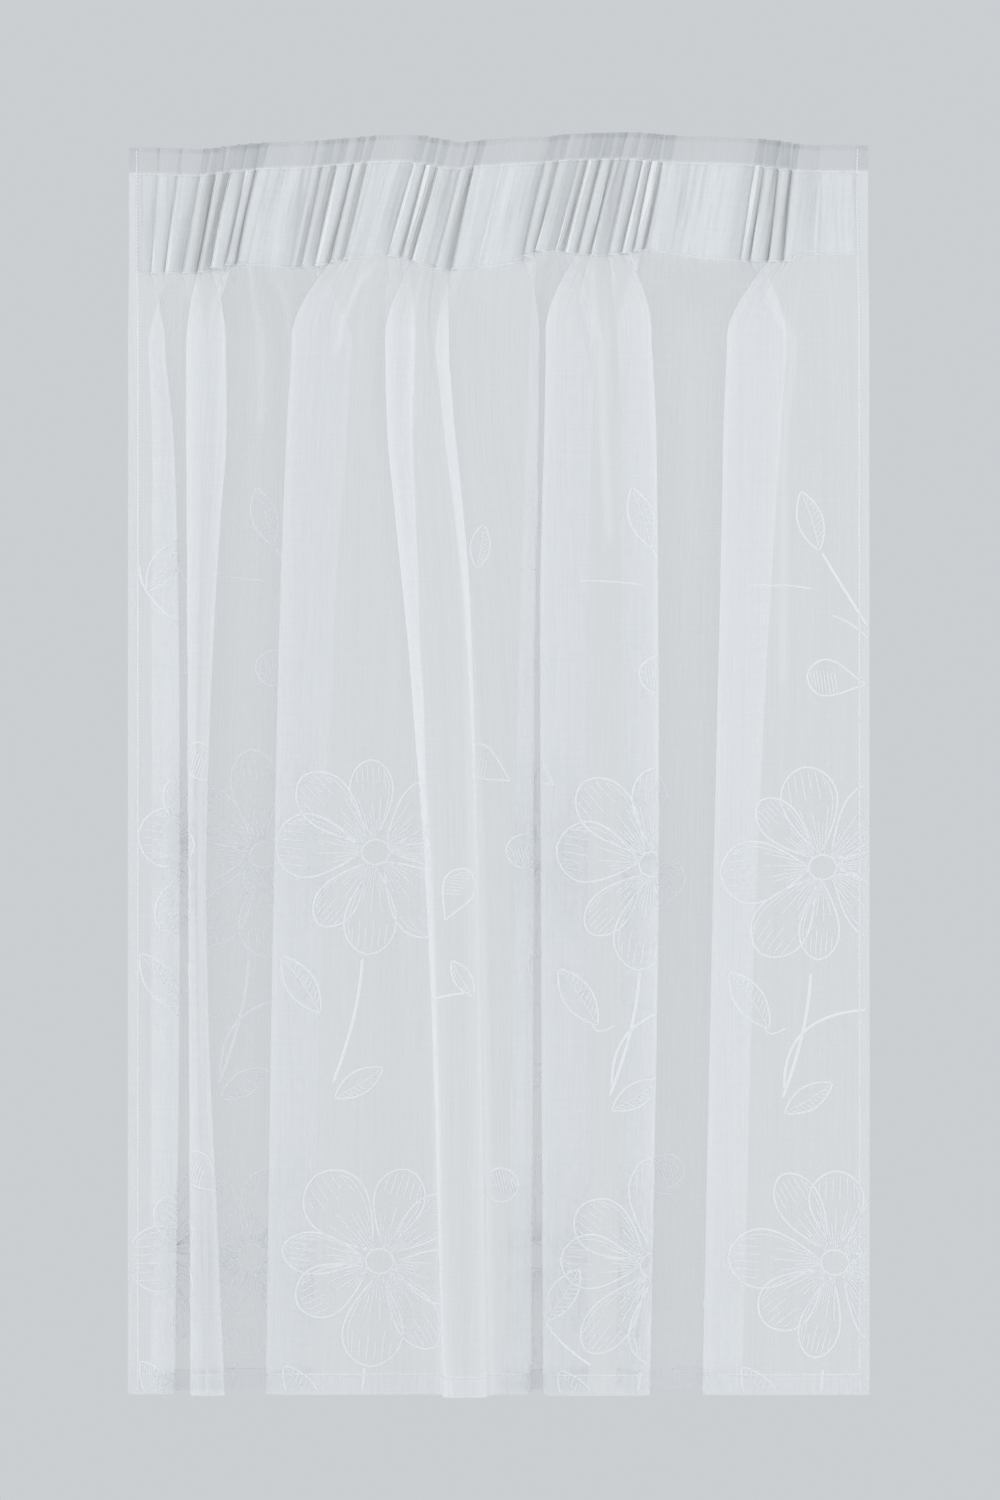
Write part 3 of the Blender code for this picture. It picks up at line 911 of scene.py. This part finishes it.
class SoftMesh:
    """A mesh of soft sheets and threads that is built up grid by grid."""

    def __init__(self) -> None:
        """Starts an empty mesh that keeps its place on the flat cloth."""
        self.done = bmesh.new()
        self.start()

    def start(self) -> None:
        """Starts a part of the mesh, because laying a grid is slow in a large one."""
        self.bm = bmesh.new()
        self.flat = self.bm.loops.layers.uv.new(FLAT_MAP)
        self.closeness = self.bm.verts.layers.float.new(CLOSENESS)

    def finish_part(self) -> None:
        """Adds the part to what is done."""
        part = bpy.data.meshes.new("part")
        self.bm.to_mesh(part)
        self.bm.free()
        self.done.from_mesh(part)
        bpy.data.meshes.remove(part)
        self.start()

    def lay(self, places: np.ndarray, flats: np.ndarray, close: Optional[np.ndarray] = None) -> None:
        """Lays one grid.

        Args:
            places: Where each point goes, by row and column, in millimetres.
            flats: Its place on the flat map, in millimetres.
            close: How close the cloth's threads lie there, from 0 to 1.
        """
        rows, columns = places.shape[:2]
        made = bmesh.ops.create_grid(self.bm, x_segments=columns - 1, y_segments=rows - 1, size=1.0)
        for vert in made["verts"]:
            i = round((vert.co.x + 1) / 2 * (columns - 1))
            j = round((1 - vert.co.y) / 2 * (rows - 1))
            vert.co = places[j, i] * MM
            if close is not None:
                vert[self.closeness] = close[j, i]
            for loop in vert.link_loops:
                loop[self.flat].uv = flats[j, i] * MM

    def piece(self, name: str, material: bpy.types.Material, slot: str) -> bpy.types.Object:
        """Turns the mesh into a piece that hangs with the curtain.

        Args:
            name: The piece's name.
            material: Its finish.
            slot: The material slot of the record that it stands for, which is not used.

        Returns:
            The piece.
        """
        self.finish_part()
        mesh = bpy.data.meshes.new(name)
        self.done.to_mesh(mesh)
        self.done.free()
        mesh.materials.append(material)
        mesh.shade_smooth()
        obj = bpy.data.objects.new(name, mesh)
        bpy.context.scene.collection.objects.link(obj)
        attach(obj, "root")
        log.info("%s: %d faces", name, len(mesh.polygons))
        return obj


@dataclass
class VoilePanel:
    """The sheer cloth with its side hems, bottom hem and narrow turned top edge."""

    hung: HungCloth
    finish: SheerVoile = field(default_factory=SheerVoile)
    side_hem: float = 12.0
    bottom_hem: float = 22.0
    top_edge: float = 5.0
    hem_gap: float = 0.5
    hem_columns: int = 5
    hem_rows: int = 4

    def lay_grid(self, mesh: SoftMesh, cloth: np.ndarray, drops: np.ndarray, lift: np.ndarray) -> None:
        """Lays a rectangle of cloth on the drape.

        Args:
            mesh: The mesh that it is added to.
            cloth: Places of its columns along the flat width.
            drops: Drops of its rows.
            lift: How far each point stands in front of the drape.
        """
        across, down = np.meshgrid(cloth, drops)
        close = self.hung.found(self.hung.closeness[..., None], across, down)[..., 0]
        mesh.lay(self.hung.at(across, down, lift), np.stack([across, -down], axis=-1), close)

    def make(self) -> bpy.types.Object:
        """Makes the cloth and turns its four edges to the back."""
        mesh = SoftMesh()
        drape, columns, drops = self.hung.drape, self.hung.columns, self.hung.drops
        self.lay_grid(mesh, columns, drops, np.zeros((len(drops), len(columns))))
        turned = -self.hem_gap * np.minimum(np.arange(self.hem_columns), 1)
        left = np.linspace(0, self.side_hem, self.hem_columns)
        self.lay_grid(mesh, left, drops, np.tile(turned, (len(drops), 1)))
        self.lay_grid(mesh, drape.flat_width - left[::-1], drops, np.tile(turned[::-1], (len(drops), 1)))
        rows = np.linspace(drape.drop - self.bottom_hem, drape.drop, self.hem_rows)
        lower = -self.hem_gap * np.minimum(np.arange(self.hem_rows)[::-1], 1)
        self.lay_grid(mesh, columns, rows, np.tile(lower[:, None], (1, len(columns))))
        behind = np.array([[0.0], [-self.hem_gap]])
        self.lay_grid(mesh, columns, np.array([0.0, self.top_edge]), np.tile(behind, (1, len(columns))))
        panel = mesh.piece("voile_panel", self.finish.make(), "voile")
        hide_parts("voile")
        return panel


@dataclass
class HeadingTape:
    """The woven tape behind the top of the cloth."""

    hung: HungCloth
    finish: WovenTape = field(default_factory=WovenTape)
    end_inset: float = 8.0
    behind: float = 1.55
    rows: int = 24

    def make(self) -> bpy.types.Object:
        """Makes the tape on the cloth's own folds."""
        drape = self.hung.drape
        kept = (self.hung.columns > self.end_inset) & (self.hung.columns < drape.flat_width - self.end_inset)
        across, down = np.meshgrid(
            self.hung.columns[kept], np.linspace(drape.tape_top, drape.tape_foot, self.rows)
        )
        mesh = SoftMesh()
        behind = np.full(across.shape, -self.behind)
        close = self.hung.found(self.hung.closeness[..., None], across, down)[..., 0]
        mesh.lay(self.hung.at(across, down, behind), np.stack([across, -down], axis=-1), close)
        tape = mesh.piece("heading_tape_woven", self.finish.make(), "heading_tape")
        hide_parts("heading_tape")
        return tape


@dataclass
class ThreadWork:
    """Threads that lie on the cloth, each a low rounded ribbon."""

    hung: HungCloth
    edge_lift: float = 0.15
    crest_rise: float = 0.6
    spacing: float = 3.5
    points_in_stitch: int = 4

    def __post_init__(self) -> None:
        """Starts the mesh that the threads are laid in."""
        self.mesh = SoftMesh()

    def sew(self, path: np.ndarray, width: float, stitch: float = 0.0, dip: float = 0.55) -> None:
        """Lays a thread along a path.

        Args:
            path: Places on the flat cloth, as (width, drop).
            width: How wide the thread lies.
            stitch: The length of each stitch where the thread dips into the cloth between them,
                or nothing where it is laid whole.
            dip: How much of its width it loses there and at its ends.
        """
        drape = self.hung.drape
        run = lengths(path)
        spacing = stitch / self.points_in_stitch if stitch else self.spacing
        count = max(3, int(run[-1] / spacing) + 1)
        at = np.linspace(0, run[-1], count)
        points = np.column_stack([np.interp(at, run, path[:, i]) for i in range(2)])
        ahead = unit(np.gradient(points, axis=0))
        sideways = np.column_stack([-ahead[:, 1], ahead[:, 0]])
        swell = np.ones(count)
        swell[[0, -1]] = 1 - dip
        if stitch:
            swell = 1 - dip * (1 - np.abs(np.sin(np.pi * at / stitch)) ** 0.5)
        spread = np.array([1.0, 0.0, -1.0]) * width / 2
        reach = swell[:, None] * spread[None, :]
        laid = points[:, None, :] + sideways[:, None, :] * reach[..., None]
        across = np.clip(laid[..., 0], 0, drape.flat_width)
        down = np.clip(laid[..., 1], 0, drape.drop)
        lift = self.edge_lift + swell[:, None] * np.array([0.0, self.crest_rise, 0.0])[None, :]
        flats = np.stack(np.broadcast_arrays(at[:, None], reach), axis=-1)
        self.mesh.lay(self.hung.at(across, down, lift), flats)


@dataclass
class Sewing(ThreadWork):
    """The rows of stitches that hold the tape and the hems."""

    finish: SewnThread = field(default_factory=SewnThread)
    stitch: float = 3.4
    thread_width: float = 1.5
    close_dip: float = 0.2
    from_tape_edge: float = 0.8
    from_hem_edge: float = 2.0

    def row(self, start: tuple[float, float], end: tuple[float, float], dip: float = 0.55) -> None:
        """Sews a straight row between two places on the flat cloth."""
        self.sew(np.array([start, end], float), self.thread_width, self.stitch, dip)
        self.mesh.finish_part()

    def make(self, panel: VoilePanel, tape: HeadingTape) -> bpy.types.Object:
        """Sews the tape's two edges and the three hems."""
        drape = self.hung.drape
        inset = tape.end_inset
        top, low = drape.tape_top + self.from_tape_edge, drape.tape_foot - self.from_tape_edge
        self.row((inset, top), (drape.flat_width - inset, top))
        self.row((inset, low), (drape.flat_width - inset, low), self.close_dip)
        side = panel.side_hem - self.from_hem_edge
        foot = drape.drop - panel.bottom_hem + self.from_hem_edge
        self.row((side, foot), (drape.flat_width - side, foot))
        for cloth in (side, drape.flat_width - side):
            self.row((cloth, self.stitch), (cloth, drape.drop - self.stitch))
        return self.mesh.piece("seam_stitching", self.finish.make(), "voile")


class MotifKind(Enum):
    """The embroidered figures."""

    FLOWER = "flower"
    LEAF = "leaf"
    BUD = "bud"


@dataclass(frozen=True)
class Motif:
    """One embroidered figure of a spray.

    Its place is in millimetres to the right of the flower's heart and below it. Size is a
    flower's radius or the length of a leaf or bud, and angle the way its tip points in degrees,
    from the right round towards the hem.
    """

    kind: MotifKind
    right: float
    below: float
    size: float
    angle: float


@dataclass(frozen=True)
class Stem:
    """A curved line of a spray through three places right of its heart and below it."""

    places: tuple[tuple[float, float], tuple[float, float], tuple[float, float]]
    width: float


class SprayKind(Enum):
    """What one repeat of the pattern holds."""

    PLAIN = "plain"
    CROWNED = "crowned"
    SPRIG = "sprig"
    LONE_BUD = "lone bud"
    LONE_LEAF = "lone leaf"
    TWIG = "twig"
    SPARE = "spare"


@dataclass(frozen=True)
class Spray:
    """One repeat of the pattern: the place of its heart on the flat cloth and its turn in degrees.

    In a repeat that has a flower, only the flower is turned.
    """

    kind: SprayKind
    cloth: float
    drop: float
    turn: float


FLOWER, LEAF, BUD = MotifKind.FLOWER, MotifKind.LEAF, MotifKind.BUD
MOTIFS = (
    Motif(FLOWER, 0, 0, 106, 0),
    Motif(BUD, 115, -83, 58, 218),
    Motif(BUD, 82, 38, 62, -82),
    Motif(LEAF, -73, 132, 68, 235),
    Motif(LEAF, -14, 230, 56, -32),
    Motif(LEAF, 90, 126, 40, 70),
)
STEMS = (
    Stem(((-12, 106), (-20, 165), (-40, 230)), 3.2),
    Stem(((-38, 222), (-14, 160), (66, 142)), 2.8),
    Stem(((-36, 160), (-52, 166), (-58, 158)), 1.8),
)
CROWN_MOTIFS = (
    Motif(LEAF, -12, -342, 60, 252),
    Motif(BUD, 14, -187, 60, 190),
)
CROWN_STEMS = (
    Stem(((0, -311), (24, -272), (62, -214)), 2.8),
    Stem(((-75, -281), (-42, -280), (-10, -276)), 1.6),
    Stem(((10, -250), (36, -236), (58, -212)), 1.8),
)
SPRIG_MOTIFS = (Motif(LEAF, 0, 0, 62, -58),)
SPRIG_STEMS = (Stem(((-24, 0), (-12, 34), (30, 70)), 2.4),)
PATTERNS: dict[SprayKind, tuple[tuple[Motif, ...], tuple[Stem, ...]]] = {
    SprayKind.PLAIN: (MOTIFS, STEMS),
    SprayKind.CROWNED: (MOTIFS + CROWN_MOTIFS, STEMS + CROWN_STEMS),
    SprayKind.SPRIG: (SPRIG_MOTIFS, SPRIG_STEMS),
    SprayKind.LONE_BUD: ((Motif(BUD, 0, 0, 56, 0),), ()),
    SprayKind.LONE_LEAF: ((Motif(LEAF, 0, 0, 46, 0),), ()),
    SprayKind.TWIG: ((Motif(LEAF, 2, -6, 42, 0),), (Stem(((-32, 16), (-14, 11), (8, 8)), 2.4),)),
    SprayKind.SPARE: ((MOTIFS[0], *MOTIFS[3:5]), STEMS[:1]),
}
PLAIN, CROWNED, SPRIG = SprayKind.PLAIN, SprayKind.CROWNED, SprayKind.SPRIG
TURNED_WHOLE = (SPRIG, SprayKind.LONE_BUD, SprayKind.LONE_LEAF, SprayKind.TWIG)
SPRAYS = (
    Spray(CROWNED, 105, 706, 4),
    Spray(CROWNED, 369, 713, -6),
    Spray(SprayKind.SPARE, 620, 709, 0),
    Spray(CROWNED, 935, 708, 9),
    Spray(CROWNED, 1173, 721, 5),
    Spray(CROWNED, 1593, 724, -4),
    Spray(PLAIN, 105, 1113, -8),
    Spray(PLAIN, 365, 1118, 6),
    Spray(SprayKind.SPARE, 629, 1117, 10),
    Spray(PLAIN, 935, 1116, -5),
    Spray(PLAIN, 1180, 1121, -3),
    Spray(PLAIN, 1605, 1118, 7),
    Spray(SPRIG, 36, 420, 0),
    Spray(SPRIG, 1089, 1150, 0),
    Spray(SPRIG, 1372, 1150, 0),
    Spray(SprayKind.LONE_BUD, 804, 623, 213),
    Spray(SprayKind.LONE_BUD, 740, 751, -65),
    Spray(SprayKind.TWIG, 744, 840, 58),
    Spray(SprayKind.LONE_BUD, 848, 708, 180),
    Spray(SprayKind.LONE_BUD, 1308, 746, -70),
    Spray(SprayKind.LONE_BUD, 1302, 1030, 4),
    Spray(SprayKind.LONE_BUD, 803, 1040, 6),
    Spray(SprayKind.LONE_LEAF, 812, 402, -75),
)


@dataclass
class Embroidery(ThreadWork):
    """Outlined flowers, leaves and buds, sewn in bright thread."""

    finish: SewnThread = field(default_factory=lambda: SewnThread(name="embroidery_thread"))
    petals: int = 8
    heart: float = 14.0
    heart_height: float = 12.5
    outline_width: float = 1.9
    vein_width: float = 1.2
    petal_half_width: float = 0.26
    petal_sway: float = 7.0
    petal_length: float = 0.94
    length_range: float = 0.08
    breadth_range: float = 0.2
    inner_line: float = 0.82
    widest_ray: float = 0.8
    ray_reach: float = 0.47
    ray_reach_range: float = 0.13
    ray_bend: float = 0.35
    ray_points: int = 6
    widest_tip: float = 0.7
    tip_start: float = 0.70
    tip_start_range: float = 0.06
    tip_end: float = 0.95
    tip_rounding: float = 0.12
    vein_length: float = 0.9
    vein_bow: float = 0.12
    leaf_stitches: int = 9
    leaf_slant: float = 0.1
    bud_stitches: int = 8
    leaf_half_width: float = 0.21
    bud_half_width: float = 0.3
    outline_points: int = 36
    rays: int = 7
    tip_stitches: int = 6
    edge_margin: float = 1.5

    def placed(self, shape: np.ndarray, spray: Spray, motif: Motif, extra: float = 0.0) -> np.ndarray:
        """Puts a shape that is drawn along the x axis in its place on the flat cloth.

        Args:
            shape: Points along the motif and across it.
            spray: The spray that the motif belongs to.
            motif: The motif.
            extra: Degrees that the shape is turned within the motif.

        Returns:
            Places on the flat cloth.
        """
        turns = spray.kind in TURNED_WHOLE or motif.kind is FLOWER
        angle = np.radians(motif.angle + extra + (spray.turn if turns else 0.0))
        ahead = np.array([np.cos(angle), np.sin(angle)])
        aside = np.array([-np.sin(angle), np.cos(angle)])
        middle = np.array([spray.cloth + motif.right, spray.drop + motif.below])
        return middle + shape[:, :1] * ahead + shape[:, 1:] * aside

    def thread(self, path: np.ndarray, width: float) -> None:
        """Sews a path as far as the cloth runs."""
        cloth, drop, margin = path[:, 0], path[:, 1], self.edge_margin
        drape = self.hung.drape
        clear = (cloth > margin) & (cloth < drape.flat_width - margin) & (drop < drape.drop - margin)
        starts = np.flatnonzero(clear & ~np.concatenate([[False], clear[:-1]]))
        ends = np.flatnonzero(clear & ~np.concatenate([clear[1:], [False]]))
        for start, end in zip(starts, ends):
            if end > start:
                self.sew(path[start : end + 1], width)

    def outline(self, side: np.ndarray, spray: Spray, motif: Motif, turn: float = 0.0) -> None:
        """Sews one side of a shape and its mirror image, as one thread."""
        mirrored = side[::-1] * np.array([1.0, -1.0])
        whole = np.vstack([side, mirrored[1:]])
        self.thread(self.placed(whole, spray, motif, turn), self.outline_width)

    def petal(self, spray: Spray, motif: Motif, turn: float, length: float, breadth: float) -> None:
        """Sews one petal.

        Args:
            spray: The spray that the flower belongs to.
            motif: The flower.
            turn: Degrees that the petal is turned within the flower.
            length: How far it reaches from the heart's middle.
            breadth: Its half width.
        """
        t = np.linspace(0, 1, self.outline_points)
        out = self.heart + (length - self.heart) * t
        half = breadth * np.sin(np.pi * t**1.55) ** 0.55
        side = np.column_stack([out, half])
        self.outline(side, spray, motif, turn)
        inner = np.column_stack([out, half * self.inner_line])
        inner = inner[self.outline_points // 4 : -self.outline_points // 6]
        self.thread(self.placed(inner, spray, motif, turn), self.vein_width)
        for k, spread in enumerate(np.linspace(-self.widest_ray, self.widest_ray, self.rays)):
            reach = length * (self.ray_reach + self.ray_reach_range * np.sin(2.6 * k + turn))
            slope = spread * breadth / length
            bend = np.linspace(0, 1, self.ray_points)[:, None]
            aside = reach * slope * (self.ray_bend + bend)
            ray = np.hstack([self.heart + (reach - self.heart) * bend, aside])
            self.thread(self.placed(ray, spray, motif, turn), self.vein_width)
        for k, spread in enumerate(np.linspace(-self.widest_tip, self.widest_tip, self.tip_stitches)):
            start = length * (self.tip_start + self.tip_start_range * np.sin(3.1 * k + turn))
            end = length * (self.tip_end - self.tip_rounding * spread**2)
            tip = np.array([[start, breadth * spread * 0.95], [end, breadth * spread * 0.9]])
            self.thread(self.placed(tip, spray, motif, turn), self.vein_width)

    def flower(self, spray: Spray, motif: Motif) -> None:
        """Sews an open flower round an empty heart."""
        ring = np.linspace(0, FULL_TURN, self.outline_points)
        heart = np.column_stack([self.heart * np.cos(ring), self.heart_height * np.sin(ring)])
        self.thread(self.placed(heart, spray, motif), self.outline_width)
        for k in range(self.petals):
            sway = self.petal_sway * np.sin(2.3 * k + spray.cloth)
            length = motif.size * (self.petal_length + self.length_range * np.sin(1.9 * k + spray.drop))
            uneven = 1 + self.breadth_range * np.sin(4.1 * k + spray.cloth)
            breadth = self.petal_half_width * length * uneven
            self.petal(spray, motif, k * 360.0 / self.petals + sway, length, breadth)

    def leaf(self, spray: Spray, motif: Motif) -> None:
        """Sews a pointed leaf with a vein and close stitches on one of its sides."""
        t = np.linspace(0, 1, self.outline_points)
        half = self.leaf_half_width * motif.size * np.sin(np.pi * t) ** 0.8
        side = np.column_stack([motif.size * (t - 0.5), half])
        self.outline(side, spray, motif)
        vein = side * np.array([self.vein_length, self.vein_bow])
        self.thread(self.placed(vein, spray, motif), self.vein_width)
        for at in np.linspace(0.12, 0.8, self.leaf_stitches):
            reach = self.leaf_half_width * motif.size * np.sin(np.pi * (at + 0.06)) ** 0.8
            foot = motif.size * (at - 0.5)
            slant = np.array([[foot, 1.5], [foot + motif.size * self.leaf_slant, reach]])
            self.thread(self.placed(slant, spray, motif), self.vein_width)

    def bud(self, spray: Spray, motif: Motif) -> None:
        """Sews a rounded bud that narrows to its stalk."""
        t = np.linspace(0, 1, self.outline_points)
        half = self.bud_half_width * motif.size * np.sin(np.pi * t**1.8) ** 0.62
        side = np.column_stack([motif.size * (t - 0.5), half])
        self.outline(side, spray, motif)
        for at in np.linspace(0.5, 0.93, self.bud_stitches):
            reach = self.bud_half_width * motif.size * np.sin(np.pi * at**1.8) ** 0.62
            foot = motif.size * (at - 0.5)
            row = np.array([[foot - 4.0, -reach * 0.9], [foot + 3.0, reach * 0.35]])
            self.thread(self.placed(row, spray, motif), self.vein_width)

    def stem(self, spray: Spray, stem: Stem) -> None:
        """Sews a curved stem through its three places."""
        first, middle, last = (np.array(place, float) for place in stem.places)
        bend = 2 * middle - (first + last) / 2
        t = np.linspace(0, 1, self.outline_points)[:, None]
        curve = first * (1 - t) ** 2 + 2 * bend * t * (1 - t) + last * t**2
        self.thread(curve + np.array([spray.cloth, spray.drop]), stem.width)

    def make(self) -> bpy.types.Object:
        """Sews every spray of the pattern."""
        sewers: dict[MotifKind, Callable[[Spray, Motif], None]] = {
            FLOWER: self.flower,
            LEAF: self.leaf,
            BUD: self.bud,
        }
        for spray in SPRAYS:
            motifs, stems = PATTERNS[spray.kind]
            for motif in motifs:
                sewers[motif.kind](spray, motif)
                self.mesh.finish_part()
            for stem in stems:
                self.stem(spray, stem)
        return self.mesh.piece("embroidery", self.finish.make(), "voile")


@dataclass(frozen=True)
class Lamp:
    """A square soft light: its name, the place where it hangs, and its power."""

    name: str
    place: tuple[float, float, float]
    watts: float


LAMPS = (
    Lamp("front_left_light", (-1.5, -6.8, 0.6), 80.0),
    Lamp("front_right_light", (1.7, -6.6, -0.2), 66.0),
    Lamp("left_light", (-6.8, -2.0, 0.2), 130.0),
    Lamp("right_light", (6.8, -2.0, -0.4), 112.0),
    Lamp("back_light", (0.6, 7.0, 0.5), 110.0),
)


@dataclass
class Studio:
    """The camera, the soft lights, the pale surroundings and the floor."""

    distance: float = 8.0
    frame_height: float = 1.5
    sensor_size: float = 36.0
    across: float = 0.0015
    level: float = -0.612
    floor_level: float = -2.3
    floor_radius: float = 8.0
    floor_fade: float = 5.0
    floor_colour: Colour = (0.58, 0.60, 0.62)
    sky: Colour = (0.60, 0.62, 0.64)
    lamp_colour: Colour = (0.985, 0.995, 1.0)
    lamp_size: float = 3.6

    def light(self, lamp: Lamp) -> None:
        """Hangs a lamp and turns it to the curtain's middle."""
        light = bpy.data.lights.new(lamp.name, "AREA")
        light.size = self.lamp_size
        light.energy = lamp.watts
        light.color = self.lamp_colour
        obj = bpy.data.objects.new(lamp.name, light)
        obj.location = lamp.place
        towards = Vector((0.0, 0.0, self.level)) - Vector(lamp.place)
        obj.rotation_euler = towards.to_track_quat("-Z", "Y").to_euler()
        bpy.context.scene.collection.objects.link(obj)

    def camera(self) -> None:
        """Sets the camera square to the curtain, as the photograph was taken."""
        camera = bpy.data.cameras.new("camera")
        camera.sensor_width = self.sensor_size
        camera.lens = self.sensor_size * self.distance / self.frame_height
        obj = bpy.data.objects.new("camera", camera)
        obj.location = (self.across, -self.distance, self.level)
        obj.rotation_euler = (np.pi / 2, 0.0, 0.0)
        bpy.context.scene.collection.objects.link(obj)
        bpy.context.scene.camera = obj

    def surroundings(self) -> None:
        """Colours the space around the curtain."""
        world = bpy.data.worlds.new("surroundings")
        world.use_nodes = True
        world.node_tree.nodes["Background"].inputs["Color"].default_value = (*self.sky, 1.0)
        bpy.context.scene.world = world
        bpy.context.scene.view_settings.view_transform = "Standard"

    def floor(self) -> None:
        """Lays a plain pale floor below the curtain, which fades out towards its rim."""
        bm = bmesh.new()
        bmesh.ops.create_circle(bm, cap_ends=True, segments=96, radius=self.floor_radius)
        bmesh.ops.translate(bm, vec=(0.0, 0.0, self.floor_level), verts=bm.verts)
        mesh = bpy.data.meshes.new("floor")
        bm.to_mesh(mesh)
        bm.free()
        nodes = Nodes("floor_paint")
        place = nodes.add("ShaderNodeTexCoord")["Object"]
        out = nodes.add("ShaderNodeVectorMath", {"operation": "LENGTH"}, {0: place})["Value"]
        cover = ((self.floor_radius - out) * (1 / self.floor_fade)).kept()
        mesh.materials.append(nodes.surface(Base_Color=(*self.floor_colour, 1.0), Roughness=0.9, Alpha=cover))
        obj = bpy.data.objects.new("floor", mesh)
        bpy.context.scene.collection.objects.link(obj)

    def make(self) -> None:
        """Sets up everything that isn't part of the curtain."""
        self.camera()
        self.surroundings()
        self.floor()
        for lamp in LAMPS:
            self.light(lamp)


def main() -> None:
    """Hangs the curtain, dresses it and sets up the studio."""
    logging.basicConfig(level=logging.INFO, format="%(message)s")
    Studio().make()
    drape = Drape()
    hung = HungCloth(drape)
    panel = VoilePanel(hung)
    tape = HeadingTape(hung)
    cloth = panel.make()
    tape.make()
    sewing = Sewing(hung).make(panel, tape)
    embroidery = Embroidery(hung).make()


if __name__ == "__main__":
    main()
